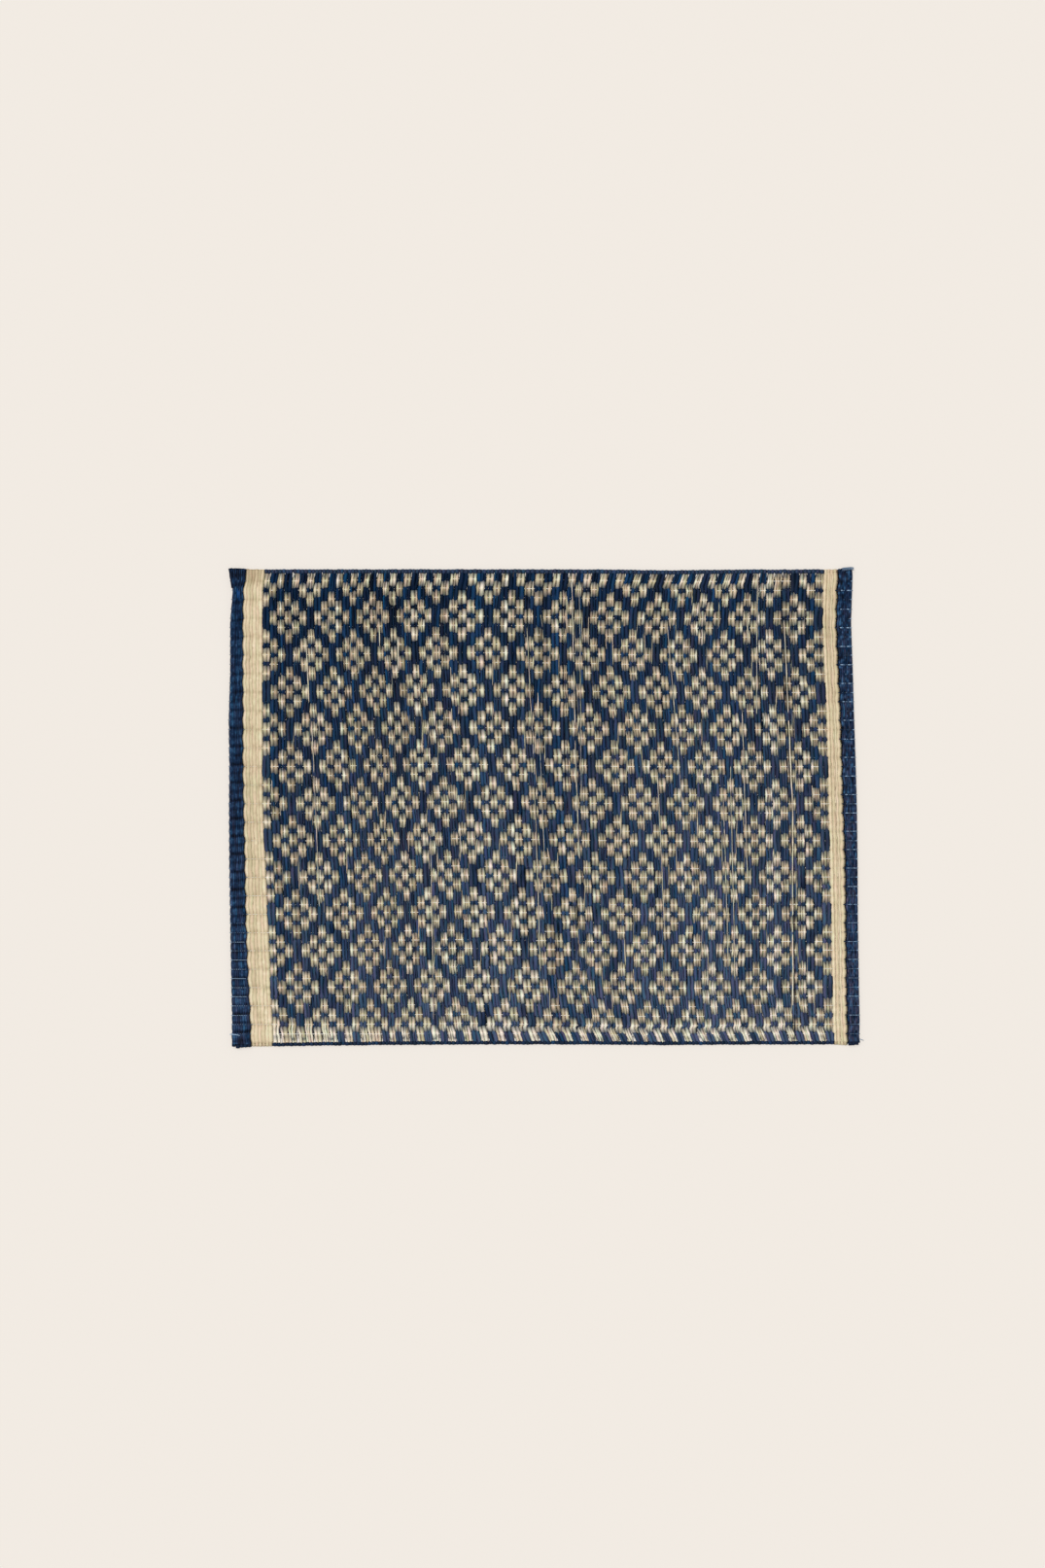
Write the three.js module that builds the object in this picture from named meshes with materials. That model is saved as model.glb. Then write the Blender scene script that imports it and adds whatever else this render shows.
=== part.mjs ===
// A reed placemat: one flat cloth of split reeds, woven with thread warps.
// The reeds run across the short side (Y), the warp rows run along the long side (X).
// Navy reeds float over natural ones, and where they dip under, lattices of natural spots show.
// Each end has a plain natural band and then a navy band, folded under as a stitched hem.
// Millimetres, +Z up, origin at the middle of the underside.
import * as THREE from "three";

// Weave
const REED_COLUMNS = 73;
const WARP_ROWS = 50;
const ROW_PITCH = 6.766;
const FIRST_ROW_Y = 165.6;

// Heights above the table
const FLOAT_TOP = 2.8;
const SPOT_TOP = 2.2;
const BAND_TOP = 2.5;
const HEM_TOP = 3.5;
const HEM_PUFF = 0.2;
const EDGE_TOP = 1.9;
const SELVEDGE_TOP = 2.7;
const WAIST = 1.1;

// How far the edge rolls in above and below the waist, and the selvedge's width
const EDGE_ROLL = 0.6;
const SELVEDGE = 1.9;

// Distance from a band's crease to the vertices just beside it
const CREASE = 0.8;

// The mat's places across X, in sections from the top edge (+Y) down to the bottom edge:
// outer edges (west, east), inner edges of the navy hems, and the two edges of the lattice field
const SECTIONS = [
  { y: 175, west: -229.5, hemWest: -216.5, fieldWest: -203, fieldEast: 203.5, hemEast: 213.8, east: 224.5 },
  { y: 169, west: -230, hemWest: -217, fieldWest: -203.6, fieldEast: 203.5, hemEast: 213.5, east: 224.8 },
  { y: 159, west: -227.4, hemWest: -218.5, fieldWest: -205, fieldEast: 203, hemEast: 213, east: 224.5 },
  { y: 135, west: -229.3, hemWest: -219, fieldWest: -205.2, fieldEast: 202.5, hemEast: 212.2, east: 223.7 },
  { y: 99, west: -229.3, hemWest: -219, fieldWest: -205.2, fieldEast: 204, hemEast: 213.8, east: 225 },
  { y: 64, west: -230.4, hemWest: -219, fieldWest: -205.2, fieldEast: 205.6, hemEast: 215.4, east: 226 },
  { y: 29, west: -230, hemWest: -219, fieldWest: -205.2, fieldEast: 206.4, hemEast: 216.5, east: 227.2 },
  { y: 0, west: -230.2, hemWest: -218.4, fieldWest: -205, fieldEast: 207, hemEast: 217.3, east: 228 },
  { y: -42, west: -230, hemWest: -217.5, fieldWest: -203, fieldEast: 208, hemEast: 218.8, east: 228.5 },
  { y: -84, west: -229.3, hemWest: -216.8, fieldWest: -201.2, fieldEast: 209, hemEast: 219.2, east: 228.7 },
  { y: -127, west: -228.5, hemWest: -215, fieldWest: -199.4, fieldEast: 209.7, hemEast: 219.6, east: 229.4 },
  { y: -156, west: -228, hemWest: -213.5, fieldWest: -198.2, fieldEast: 210, hemEast: 220.2, east: 230 },
  { y: -175, west: -228.4, hemWest: -213, fieldWest: -197.3, fieldEast: 211, hemEast: 221, east: 229.4 },
];

// The long edges: their Y from the west end to the east end
const LONG_EDGES = [
  { x: -230, top: 174.8, bottom: -174.2 },
  { x: -223, top: 174.8, bottom: -175.5 },
  { x: -212, top: 174.1, bottom: -174.4 },
  { x: -150, top: 174.1, bottom: -173.5 },
  { x: -60, top: 174.2, bottom: -172.8 },
  { x: 35, top: 174.1, bottom: -172.8 },
  { x: 90, top: 173.4, bottom: -173.3 },
  { x: 150, top: 174, bottom: -172.8 },
  { x: 212, top: 174.1, bottom: -172.8 },
  { x: 222, top: 175.5, bottom: -173.4 },
  { x: 230, top: 174.8, bottom: -173 },
];

// The reed columns aren't evenly beaten: how far a column lies from its even place, by warp row
const COLUMN_STATIONS = [0, 8, 16, 24, 34, 44, 49];
const COLUMN_DRIFT = [
  { column: 0, row0: -0.8, row8: 0.3, row16: 0.1, row24: 0.2, row34: 0.2, row44: -0.6, row49: 0.2 },
  { column: 6, row0: -2.1, row8: -0.5, row16: 1.1, row24: 3, row34: 2.9, row44: 2.2, row49: 2.5 },
  { column: 12, row0: -4.1, row8: -3.7, row16: -0.8, row24: 1.9, row34: 2.7, row44: 2.7, row49: 1.9 },
  { column: 18, row0: -9.2, row8: -7.6, row16: -5.5, row24: -3.3, row34: -2.4, row44: -1.9, row49: -1.6 },
  { column: 24, row0: -11, row8: -10.8, row16: -8.9, row24: -5.9, row34: -4.9, row44: -4, row49: -1.4 },
  { column: 30, row0: -5.5, row8: -6.2, row16: -5.9, row24: -3.7, row34: -2.9, row44: -1.8, row49: 1.3 },
  { column: 34, row0: -6, row8: -5.4, row16: -6.3, row24: -3.9, row34: -2.3, row44: -0.8, row49: 3 },
  { column: 37, row0: -1.9, row8: -2.5, row16: -3.5, row24: -1.7, row34: 0.2, row44: 1.7, row49: 5.4 },
  { column: 42, row0: -2, row8: -2.2, row16: -0.7, row24: 0.4, row34: 0.7, row44: 0.8, row49: 5 },
  { column: 48, row0: 0.6, row8: -2.6, row16: -0.3, row24: 1.3, row34: 1.9, row44: 0.9, row49: 4.4 },
  { column: 54, row0: 1.3, row8: -2.2, row16: -1, row24: -0.1, row34: 0.3, row44: 0.1, row49: 2.5 },
  { column: 60, row0: -0.8, row8: -3, row16: -1.8, row24: -0.2, row34: -0.2, row44: -1.3, row49: 0.8 },
  { column: 66, row0: -2.8, row8: -2.9, row16: -2.4, row24: -1.5, row34: -2.5, row44: -3.8, row49: -0.4 },
  { column: 72, row0: -0.4, row8: -1.4, row16: -1.3, row24: -0.5, row34: -1, row44: -1.2, row49: -0.7 },
];

// The warp rows bow a little too: how far a row lies above its even place, at six of the rows
const ROW_STATIONS = [0, 10, 24, 34, 42, 49];
const ROW_DRIFT = [
  { column: 5, row0: -0.6, row10: -0.2, row24: -0.3, row34: 0.4, row42: 1.3, row49: 1.6 },
  { column: 15, row0: 0.2, row10: 0.7, row24: 0.6, row34: 1.6, row42: 2.6, row49: 1.6 },
  { column: 25, row0: 1, row10: 1.5, row24: 1.1, row34: 2.2, row42: 3.1, row49: 2.2 },
  { column: 35, row0: 0.6, row10: 1, row24: 0.6, row34: 1.4, row42: 2.3, row49: 1.4 },
  { column: 45, row0: -0.4, row10: 0, row24: -0.3, row34: 0.3, row42: 1.2, row49: 0.6 },
  { column: 55, row0: -1.2, row10: -0.7, row24: -0.7, row34: 0.2, row42: 1.2, row49: 0.6 },
  { column: 67, row0: -0.8, row10: -0.6, row24: -0.4, row34: 0.7, row42: 1.8, row49: 1.8 },
];

// The lattice: in which of six columns a natural spot shows, for each of eight warp rows
const SPOTS = [[0, 2, 4], [1, 5], [0, 3], [2, 4], [1, 3, 5], [2, 4], [0, 3], [1, 5]];

// The value of a table's column `name` where its column `key` equals `at`, on straight lines between rows
function lookUp(table, key, name, at) {
  const rising = table[table.length - 1][key] > table[0][key];
  const rows = rising ? table : [...table].reverse();
  if (at <= rows[0][key]) return rows[0][name];
  for (let i = 1; i < rows.length; i++) {
    const [low, high] = [rows[i - 1], rows[i]];
    if (at <= high[key]) {
      const share = (at - low[key]) / (high[key] - low[key]);
      return THREE.MathUtils.lerp(low[name], high[name], share);
    }
  }
  return rows[rows.length - 1][name];
}

// The same between named stations, such as row8 and row24, that a table has as columns
function lookUpBetween(table, stations, column, row) {
  const places = stations.map((station) => ({
    station,
    value: lookUp(table, "column", "row" + station, column),
  }));
  return lookUp(places, "station", "value", row);
}

const sectionX = (name, y) => lookUp(SECTIONS, "y", name, y);

function isSpot(column, row) {
  if (row === WARP_ROWS - 1) return column % 2 === 1;
  return SPOTS[row % 8].includes(column % 6);
}

function rowY(column, row) {
  return FIRST_ROW_Y - row * ROW_PITCH + lookUpBetween(ROW_DRIFT, ROW_STATIONS, column, row);
}

function reedX(column, row, y) {
  const west = sectionX("fieldWest", y);
  const east = sectionX("fieldEast", y);
  const even = THREE.MathUtils.lerp(west, east, (column + 0.5) / REED_COLUMNS);
  return even + lookUpBetween(COLUMN_DRIFT, COLUMN_STATIONS, column, row);
}

// The lines of vertices that run up the mat, from the west edge to the east edge.
// Each gives its X at a height y and a row, its top there, and the reed column it goes with.
function uprightLines() {
  const lines = [];
  const add = (column, x, top) => lines.push({ column, x, top });
  const puff = (row) => HEM_TOP + (row % 2 ? -HEM_PUFF : HEM_PUFF);
  const across = (a, b, share) => (row, y) =>
    THREE.MathUtils.lerp(sectionX(a, y), sectionX(b, y), share);
  const beside = (name, offset) => (row, y) => sectionX(name, y) + offset;

  add(0, beside("west", EDGE_ROLL), () => EDGE_TOP);
  add(0, across("west", "hemWest", 0.3), puff);
  add(0, across("west", "hemWest", 0.7), puff);
  add(0, beside("hemWest", 0), () => BAND_TOP);
  add(0, across("hemWest", "fieldWest", 0.5), () => BAND_TOP);
  add(0, beside("fieldWest", -CREASE), () => BAND_TOP);
  for (let column = 0; column < REED_COLUMNS; column++) {
    const top = (row) => (isSpot(column, row) ? SPOT_TOP : FLOAT_TOP);
    add(column, (row, y) => reedX(column, row, y), top);
  }
  const last = REED_COLUMNS - 1;
  add(last, beside("fieldEast", CREASE), () => BAND_TOP);
  add(last, beside("hemEast", 0), () => BAND_TOP);
  add(last, across("hemEast", "east", 0.3), puff);
  add(last, across("hemEast", "east", 0.7), puff);
  add(last, beside("east", -EDGE_ROLL), () => EDGE_TOP);
  return lines;
}

// The top of the mat as rows of vertices, from the bottom edge (-Y) to the top edge (+Y)
function topRows() {
  const lines = uprightLines();
  const edgeX = (line, row, edge) => {
    const y = FIRST_ROW_Y - row * ROW_PITCH;
    return line.x(row, y + (edge === "top" ? SELVEDGE : -SELVEDGE));
  };
  const edgeRow = (edge, row, inset, height) =>
    lines.map((line) => {
      const x = edgeX(line, row, edge);
      const inward = edge === "top" ? -inset : inset;
      return new THREE.Vector3(x, lookUp(LONG_EDGES, "x", edge, x) + inward, height(line, row));
    });
  const bead = (line, row) => Math.max(SELVEDGE_TOP, line.top(row) - HEM_PUFF);

  const rows = [
    edgeRow("bottom", WARP_ROWS - 1, EDGE_ROLL, () => EDGE_TOP),
    edgeRow("bottom", WARP_ROWS - 1, SELVEDGE, bead),
  ];
  for (let row = WARP_ROWS - 1; row >= 0; row--) {
    rows.push(
      lines.map((line) => {
        const y = rowY(line.column, row);
        return new THREE.Vector3(line.x(row, y), y, line.top(row));
      }),
    );
  }
  rows.push(edgeRow("top", 0, SELVEDGE, bead));
  rows.push(edgeRow("top", 0, EDGE_ROLL, () => EDGE_TOP));
  return rows;
}

// Indices of a grid's border, counter-clockwise from its first corner
function borderOf(width, height) {
  const border = [];
  for (let i = 0; i < width - 1; i++) border.push(i);
  for (let j = 0; j < height - 1; j++) border.push(j * width + width - 1);
  for (let i = width - 1; i > 0; i--) border.push((height - 1) * width + i);
  for (let j = height - 1; j > 0; j--) border.push(j * width);
  return border;
}

// One closed body: the relief on top, a rolled edge of two walls, and a flat underside
function wovenMatGeometry() {
  const rows = topRows();
  const width = rows[0].length;
  const height = rows.length;
  const points = rows.flat();
  const faces = [];

  for (let j = 0; j < height - 1; j++) {
    for (let i = 0; i < width - 1; i++) {
      const [a, b] = [j * width + i, j * width + i + 1];
      const [c, d] = [a + width, b + width];
      const fallsToNorthEast = (i + j) % 2 === 0;
      if (fallsToNorthEast) faces.push(a, b, d, a, d, c);
      else faces.push(a, b, c, b, d, c);
    }
  }

  const border = borderOf(width, height);
  const outward = border.map((vertex) => {
    const [i, j] = [vertex % width, Math.floor(vertex / width)];
    return new THREE.Vector2(
      (i === width - 1 ? 1 : 0) - (i === 0 ? 1 : 0),
      (j === height - 1 ? 1 : 0) - (j === 0 ? 1 : 0),
    );
  });
  const ring = (reach, z) =>
    border.map((vertex, n) => {
      const { x, y } = points[vertex];
      points.push(new THREE.Vector3(x + outward[n].x * reach, y + outward[n].y * reach, z));
      return points.length - 1;
    });
  const wall = (upper, lower) =>
    upper.forEach((vertex, n) => {
      const next = (n + 1) % upper.length;
      faces.push(vertex, lower[n], lower[next], vertex, lower[next], upper[next]);
    });
  const waist = ring(EDGE_ROLL, WAIST);
  const foot = ring(0, 0);
  wall(border, waist);
  wall(waist, foot);

  const outline = foot.map((vertex) => new THREE.Vector2(points[vertex].x, points[vertex].y));
  for (const [a, b, c] of THREE.ShapeUtils.triangulateShape(outline, [])) {
    faces.push(foot[a], foot[c], foot[b]);
  }

  const geometry = new THREE.BufferGeometry().setFromPoints(points);
  geometry.setIndex(faces);
  geometry.computeVertexNormals();
  return geometry;
}

const wovenMat = new THREE.Mesh(
  wovenMatGeometry(),
  new THREE.MeshStandardMaterial({ color: 0x27405f, roughness: 0.6, metalness: 0 }),
);
wovenMat.name = "woven_mat";

const placemat = new THREE.Group();
placemat.add(wovenMat);

export default placemat;
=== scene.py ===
"""A reed placemat, woven from split reeds and thread, lying face up on a pale table.

Every reed, thread and stitch is a strand of its own, swept along its path in the weave.
The natural reeds are the ground of the cloth. Navy reeds float over them, and dip under
them wherever a natural spot shows. Sizes are in millimetres until a mesh is made.
"""
import math
from dataclasses import dataclass

import bpy
import numpy as np
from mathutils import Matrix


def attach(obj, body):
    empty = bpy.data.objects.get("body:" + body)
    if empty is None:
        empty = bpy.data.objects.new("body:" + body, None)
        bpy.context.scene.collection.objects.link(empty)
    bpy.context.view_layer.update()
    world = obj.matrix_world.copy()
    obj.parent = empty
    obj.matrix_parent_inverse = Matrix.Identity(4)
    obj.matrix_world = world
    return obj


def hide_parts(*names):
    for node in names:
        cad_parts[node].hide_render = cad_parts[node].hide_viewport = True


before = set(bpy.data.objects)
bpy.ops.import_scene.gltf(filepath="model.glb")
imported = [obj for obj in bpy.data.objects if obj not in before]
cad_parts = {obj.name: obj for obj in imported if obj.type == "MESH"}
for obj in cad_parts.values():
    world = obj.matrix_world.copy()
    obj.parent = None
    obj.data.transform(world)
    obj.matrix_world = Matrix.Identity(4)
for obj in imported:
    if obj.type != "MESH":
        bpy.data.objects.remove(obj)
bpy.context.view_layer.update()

MM = 0.001

# Every random draw comes from here, always in the same order
rng = np.random.default_rng(11)

# Weave
REED_COLUMNS = 73
WARP_ROWS = 50
LAST_COLUMN, LAST_ROW = REED_COLUMNS - 1, WARP_ROWS - 1
ROW_PITCH = 6.766
FIRST_ROW_Y = 165.6

# Half the mat, for what changes slowly across it
HALF_X, HALF_Y = 230, 175

# The mat's places across X, in sections from the top edge (+Y) down to the bottom edge
SECTION_NAMES = ("y", "west", "hem_west", "field_west", "field_east", "hem_east", "east")
SECTIONS = (
    (175, -229.5, -216.5, -203, 203.5, 213.8, 224.5),
    (169, -230, -217, -203.6, 203.5, 213.5, 224.8),
    (159, -227.4, -218.5, -205, 203, 213, 224.5),
    (135, -229.3, -219, -205.2, 202.5, 212.2, 223.7),
    (99, -229.3, -219, -205.2, 204, 213.8, 225),
    (64, -230.4, -219, -205.2, 205.6, 215.4, 226),
    (29, -230, -219, -205.2, 206.4, 216.5, 227.2),
    (0, -230.2, -218.4, -205, 207, 217.3, 228),
    (-42, -230, -217.5, -203, 208, 218.8, 228.5),
    (-84, -229.3, -216.8, -201.2, 209, 219.2, 228.7),
    (-127, -228.5, -215, -199.4, 209.7, 219.6, 229.4),
    (-156, -228, -213.5, -198.2, 210, 220.2, 230),
    (-175, -228.4, -213, -197.3, 211, 221, 229.4),
)

# The long edges: their Y from the west end to the east end
LONG_EDGE_NAMES = ("x", "top", "bottom")
LONG_EDGES = (
    (-230, 174.8, -174.2),
    (-223, 174.8, -175.5),
    (-212, 174.1, -174.4),
    (-150, 174.1, -173.5),
    (-60, 174.2, -172.8),
    (35, 174.1, -172.8),
    (90, 173.4, -173.3),
    (150, 174, -172.8),
    (212, 174.1, -172.8),
    (222, 175.5, -173.4),
    (230, 174.8, -173),
)

# How far a reed column lies from its even place, at seven warp rows
COLUMN_DRIFT_ROWS = (0, 8, 16, 24, 34, 44, 49)
COLUMN_DRIFT = (
    (0, -0.8, 0.3, 0.1, 0.2, 0.2, -0.6, 0.2),
    (6, -2.1, -0.5, 1.1, 3, 2.9, 2.2, 2.5),
    (12, -4.1, -3.7, -0.8, 1.9, 2.7, 2.7, 1.9),
    (18, -9.2, -7.6, -5.5, -3.3, -2.4, -1.9, -1.6),
    (24, -11, -10.8, -8.9, -5.9, -4.9, -4, -1.4),
    (30, -5.5, -6.2, -5.9, -3.7, -2.9, -1.8, 1.3),
    (34, -6, -5.4, -6.3, -3.9, -2.3, -0.8, 3),
    (37, -1.9, -2.5, -3.5, -1.7, 0.2, 1.7, 5.4),
    (42, -2, -2.2, -0.7, 0.4, 0.7, 0.8, 5),
    (48, 0.6, -2.6, -0.3, 1.3, 1.9, 0.9, 4.4),
    (54, 1.3, -2.2, -1, -0.1, 0.3, 0.1, 2.5),
    (60, -0.8, -3, -1.8, -0.2, -0.2, -1.3, 0.8),
    (66, -2.8, -2.9, -2.4, -1.5, -2.5, -3.8, -0.4),
    (72, -0.4, -1.4, -1.3, -0.5, -1, -1.2, -0.7),
)

# How far a warp row lies above its even place, at six rows
ROW_DRIFT_ROWS = (0, 10, 24, 34, 42, 49)
ROW_DRIFT = (
    (5, -0.6, -0.2, -0.3, 0.4, 1.3, 1.6),
    (15, 0.2, 0.7, 0.6, 1.6, 2.6, 1.6),
    (25, 1, 1.5, 1.1, 2.2, 3.1, 2.2),
    (35, 0.6, 1, 0.6, 1.4, 2.3, 1.4),
    (45, -0.4, 0, -0.3, 0.3, 1.2, 0.6),
    (55, -1.2, -0.7, -0.7, 0.2, 1.2, 0.6),
    (67, -0.8, -0.6, -0.4, 0.7, 1.8, 1.8),
)

# The lattice: in which of six columns a natural spot shows, for each of eight warp rows
SPOTS = ((0, 2, 4), (1, 5), (0, 3), (2, 4), (1, 3, 5), (2, 4), (0, 3), (1, 5))

# Cells (column, row) where the weaver left the navy reed behind
SLIPS = {(67, 0), (0, 49), (2, 49), (4, 49), (6, 49), (12, 49)}


# Places in the weave

SECTION = dict(zip(SECTION_NAMES, np.array(SECTIONS, float)[::-1].T))
LONG_EDGE = dict(zip(LONG_EDGE_NAMES, np.array(LONG_EDGES, float).T))


def section_x(name, y):
    """The X of one of the mat's lengthwise lines at height y."""
    return np.interp(y, SECTION["y"], SECTION[name])


def long_edge_y(edge, x):
    return np.interp(x, LONG_EDGE["x"], LONG_EDGE[edge])


def drift(table, rows, column, row):
    """A drift table's value at a reed column and at warp rows."""
    grid = np.array(table, float)
    stations = [np.interp(column, grid[:, 0], grid[:, 1 + i]) for i in range(len(rows))]
    return np.interp(row, rows, stations)


# Extra sideways lean of the outermost spots: at which rows, and how many mm at a lean of 1
FIRST_ROW_LEAN = ((-1.2, -0.75, 0, 0.6, 1), (1.1, 0.9, 0, -0.7, 0))
LAST_ROW_LEAN = ((48, 48.4, 49, 49.65, 50.2), (0, -1.0, 0, 1.2, 1.6))

# At which columns, and how strongly they take part in that lean
FIRST_LEAN_OF_COLUMN = ((40, 47, 52, 62, 66), (0, 1, 1.6, 1.3, 0))
LAST_LEAN_OF_COLUMN = ((24, 34, 60, 72), (0.4, 1.5, 1.5, 0.8))


def edge_lean(column, row):
    first = np.interp(column, *FIRST_LEAN_OF_COLUMN) * np.interp(row, *FIRST_ROW_LEAN)
    last = np.interp(column, *LAST_LEAN_OF_COLUMN) * np.interp(row, *LAST_ROW_LEAN)
    return first + last


def row_y(column, row):
    """The Y of fractional warp rows at a reed column."""
    return FIRST_ROW_Y - row * ROW_PITCH + drift(ROW_DRIFT, ROW_DRIFT_ROWS, column, row)


def reed_centre_x(column, row, y):
    """The X of a reed column's middle at fractional warp rows."""
    west, east = section_x("field_west", y), section_x("field_east", y)
    even = west + (east - west) * (column + 0.5) / REED_COLUMNS
    return even + drift(COLUMN_DRIFT, COLUMN_DRIFT_ROWS, column, row) + edge_lean(column, row)


def border_x(border, row, y):
    """The X of the line between two reed columns. The outermost two are the field's own edges."""
    if border == 0:
        return section_x("field_west", y)
    if border == REED_COLUMNS:
        return section_x("field_east", y)
    return (reed_centre_x(border - 1, row, y) + reed_centre_x(border, row, y)) / 2


def is_spot(column, row):
    """Whether a natural spot shows in this cell. In the last row every second column has one."""
    if not (0 <= row <= LAST_ROW and 0 <= column <= LAST_COLUMN):
        return False
    if (column, row) in SLIPS:
        return True
    if row == LAST_ROW:
        return column % 2 == 1
    return column % 6 in SPOTS[row % 8]


# Strands

EAST, NORTH = (1.0, 0.0, 0.0), (0.0, 1.0, 0.0)

# A strand's strip in its slot of the UV map, across and along, and the places and size of its two caps
STRIP_ACROSS, STRIP_ALONG, CAPS_ALONG = (0.06, 0.94), (0.03, 0.97), (0.015, 0.985)
CAP_WIDTH, CAP_HEIGHT = 0.4, 0.01

# How far apart two strands read the materials' noise, and how far below its middle a strand's face begins
NOISE_STEP, FACE_BELOW_MIDDLE = 7.3, 0.1


def ring_angles(sides):
    return np.arange(sides) / sides * 2 * math.pi


def tube_faces(base, count, sides):
    """A closed tube's face corners, the walls before the two caps, and the size of each face."""
    j, r = np.meshgrid(np.arange(sides), np.arange(count - 1))
    here, after = base + r * sides, base + (r + 1) * sides
    around = (j + 1) % sides
    walls = np.stack([here + j, after + j, after + around, here + around], -1)
    first_cap = base + np.arange(sides)
    last_cap = base + (count - 1) * sides + np.arange(sides)[::-1]
    sizes = [4] * (sides * (count - 1)) + [sides] * 2
    return np.concatenate([walls.ravel(), first_cap, last_cap]), sizes


class Strands:
    """Swept strands that become one mesh. Each has its own strip of the UV map, in one tier or more."""

    def __init__(self, tiers=1):
        self.tiers = tiers
        self.strands = []

    def add(self, path, width, height, tone, shade=0.0, side=EAST, sides=4):
        """Sweep a ring along a path in mm. side: the direction of its width. tone: its colour. shade:
        painted shade on natural reeds, painted sheen on dyed ones.
        """
        path = np.asarray(path, float)
        count = len(path)
        tangent = np.gradient(path, axis=0)
        tangent /= np.linalg.norm(tangent, axis=1)[:, None]
        side = np.broadcast_to(np.asarray(side, float), path.shape)
        side = side - tangent * (side * tangent).sum(1)[:, None]
        side = side / np.linalg.norm(side, axis=1)[:, None]
        up = np.cross(side, tangent)
        across = np.cos(ring_angles(sides)) * np.broadcast_to(width, count)[:, None] / 2
        rise = np.sin(ring_angles(sides)) * np.broadcast_to(height, count)[:, None] / 2
        rings = path[:, None] + side[:, None] * across[..., None] + up[:, None] * rise[..., None]
        steps = np.linalg.norm(np.diff(path, axis=0), axis=1)
        along = np.concatenate([[0], np.cumsum(steps)])
        seed = NOISE_STEP * len(self.strands)
        on_face = rings[..., 2] > rings[..., 2].mean(axis=1, keepdims=True) - FACE_BELOW_MIDDLE
        self.strands.append(
            {
                "along": along,
                "points": rings * MM,
                "fibre": np.stack(np.broadcast_arrays(across, along[:, None], seed), -1),
                "tone": np.broadcast_to(tone, count)[:, None] * np.ones(sides),
                "shade": np.broadcast_to(shade, count)[:, None] * on_face,
            }
        )

    def tube_uv(self, index, along, sides):
        """Where the faces of tube_faces lie in the UV map."""
        slots = math.ceil(len(self.strands) / self.tiers)
        tier, slot = divmod(index, slots)
        left, right = ((slot + share) / slots for share in STRIP_ACROSS)
        low, high = ((tier + share) / self.tiers for share in STRIP_ALONG)
        u = left + (right - left) * np.arange(sides + 1) / sides
        v = low + (high - low) * along / along[-1]
        j, r = np.meshgrid(np.arange(sides), np.arange(len(along) - 1))
        walls = np.stack([u[j], v[r], u[j], v[r + 1], u[j + 1], v[r + 1], u[j + 1], v[r]], -1)
        parts = [walls.reshape(-1, 2)]
        middle, spread = (left + right) / 2, (right - left) * CAP_WIDTH
        for turn, place in zip((1, -1), CAPS_ALONG):
            angles = ring_angles(sides)[::turn]
            cap_v = (tier + place + CAP_HEIGHT * np.sin(angles)) / self.tiers
            parts.append(np.stack([middle + spread * np.cos(angles), cap_v], -1))
        return np.concatenate(parts)

    def joined(self, key):
        return np.concatenate([strand[key].ravel() for strand in self.strands]).astype(np.float32)

    def mesh(self, name):
        """One smooth mesh of closed tubes. Their painted shade and sheen lie on the face alone, not on the
        underside.
        """
        corners, sizes, uvs = [], [], []
        base = 0
        for index, strand in enumerate(self.strands):
            count, sides = strand["tone"].shape
            tube_corners, tube_sizes = tube_faces(base, count, sides)
            corners.append(tube_corners)
            sizes += tube_sizes
            uvs.append(self.tube_uv(index, strand["along"], sides))
            base += count * sides

        mesh = bpy.data.meshes.new(name)
        mesh.vertices.add(base)
        mesh.vertices.foreach_set("co", self.joined("points"))
        mesh.loops.add(sum(sizes))
        mesh.loops.foreach_set("vertex_index", np.concatenate(corners).astype(np.int32))
        mesh.polygons.add(len(sizes))
        starts = np.concatenate([[0], np.cumsum(sizes)[:-1]])
        mesh.polygons.foreach_set("loop_start", starts.astype(np.int32))
        mesh.polygons.foreach_set("use_smooth", np.ones(len(sizes), bool))
        uv_map = mesh.uv_layers.new(name="OFBake")
        uv_map.data.foreach_set("uv", np.concatenate(uvs).astype(np.float32).ravel())
        for label, kind, field in (
            ("fibre", "FLOAT_VECTOR", "vector"),
            ("tone", "FLOAT", "value"),
            ("shade", "FLOAT", "value"),
        ):
            mesh.attributes.new(label, kind, "POINT").data.foreach_set(field, self.joined(label))
        mesh.update(calc_edges=True)
        mesh.validate()
        return mesh


def add_object(name, data):
    made = bpy.data.objects.new(name, data)
    bpy.context.scene.collection.objects.link(made)
    return made


def add_piece(name, strands, material, slot):
    """The strands as one object that rides on the mat and stands for its solid."""
    piece = add_object(name, strands.mesh(name))
    piece.data.materials.append(material)
    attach(piece, "root")
    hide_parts("woven_mat")
    return piece


# Materials

# Noise along a reed: its scale across, along and from strand to strand
STREAKS, BLOTCHES, HUES = (3.4, 0.1, 1.0), (0.2, 0.07, 3.1), (0.9, 0.08, 5.3)

# Strength of blotches beside streaks, noise levels between which the hue turns, swing of the roughness
BLOTCH_SHARE, HUE_FROM, HUE_TO, ROUGHNESS_SWING = 0.7, 0.35, 0.65, 0.2

# A thread's twist: its scale across and along, and how much it shows in the colour
TWIST, TWIST_SHOWS = (9.0, 7.0, 0.0), 0.2

# Strength of a bump, and its height in metres
REED_BUMP, THREAD_BUMP = (0.6, 0.00015), (0.4, 0.00008)

# A Mix node's inputs and output for colours come after those for numbers and vectors
MIX_FACTOR, MIX_FIRST, MIX_SECOND, MIX_RESULT = 0, 6, 7, 2


def opaque(colour):
    return (*colour, 1)


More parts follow.
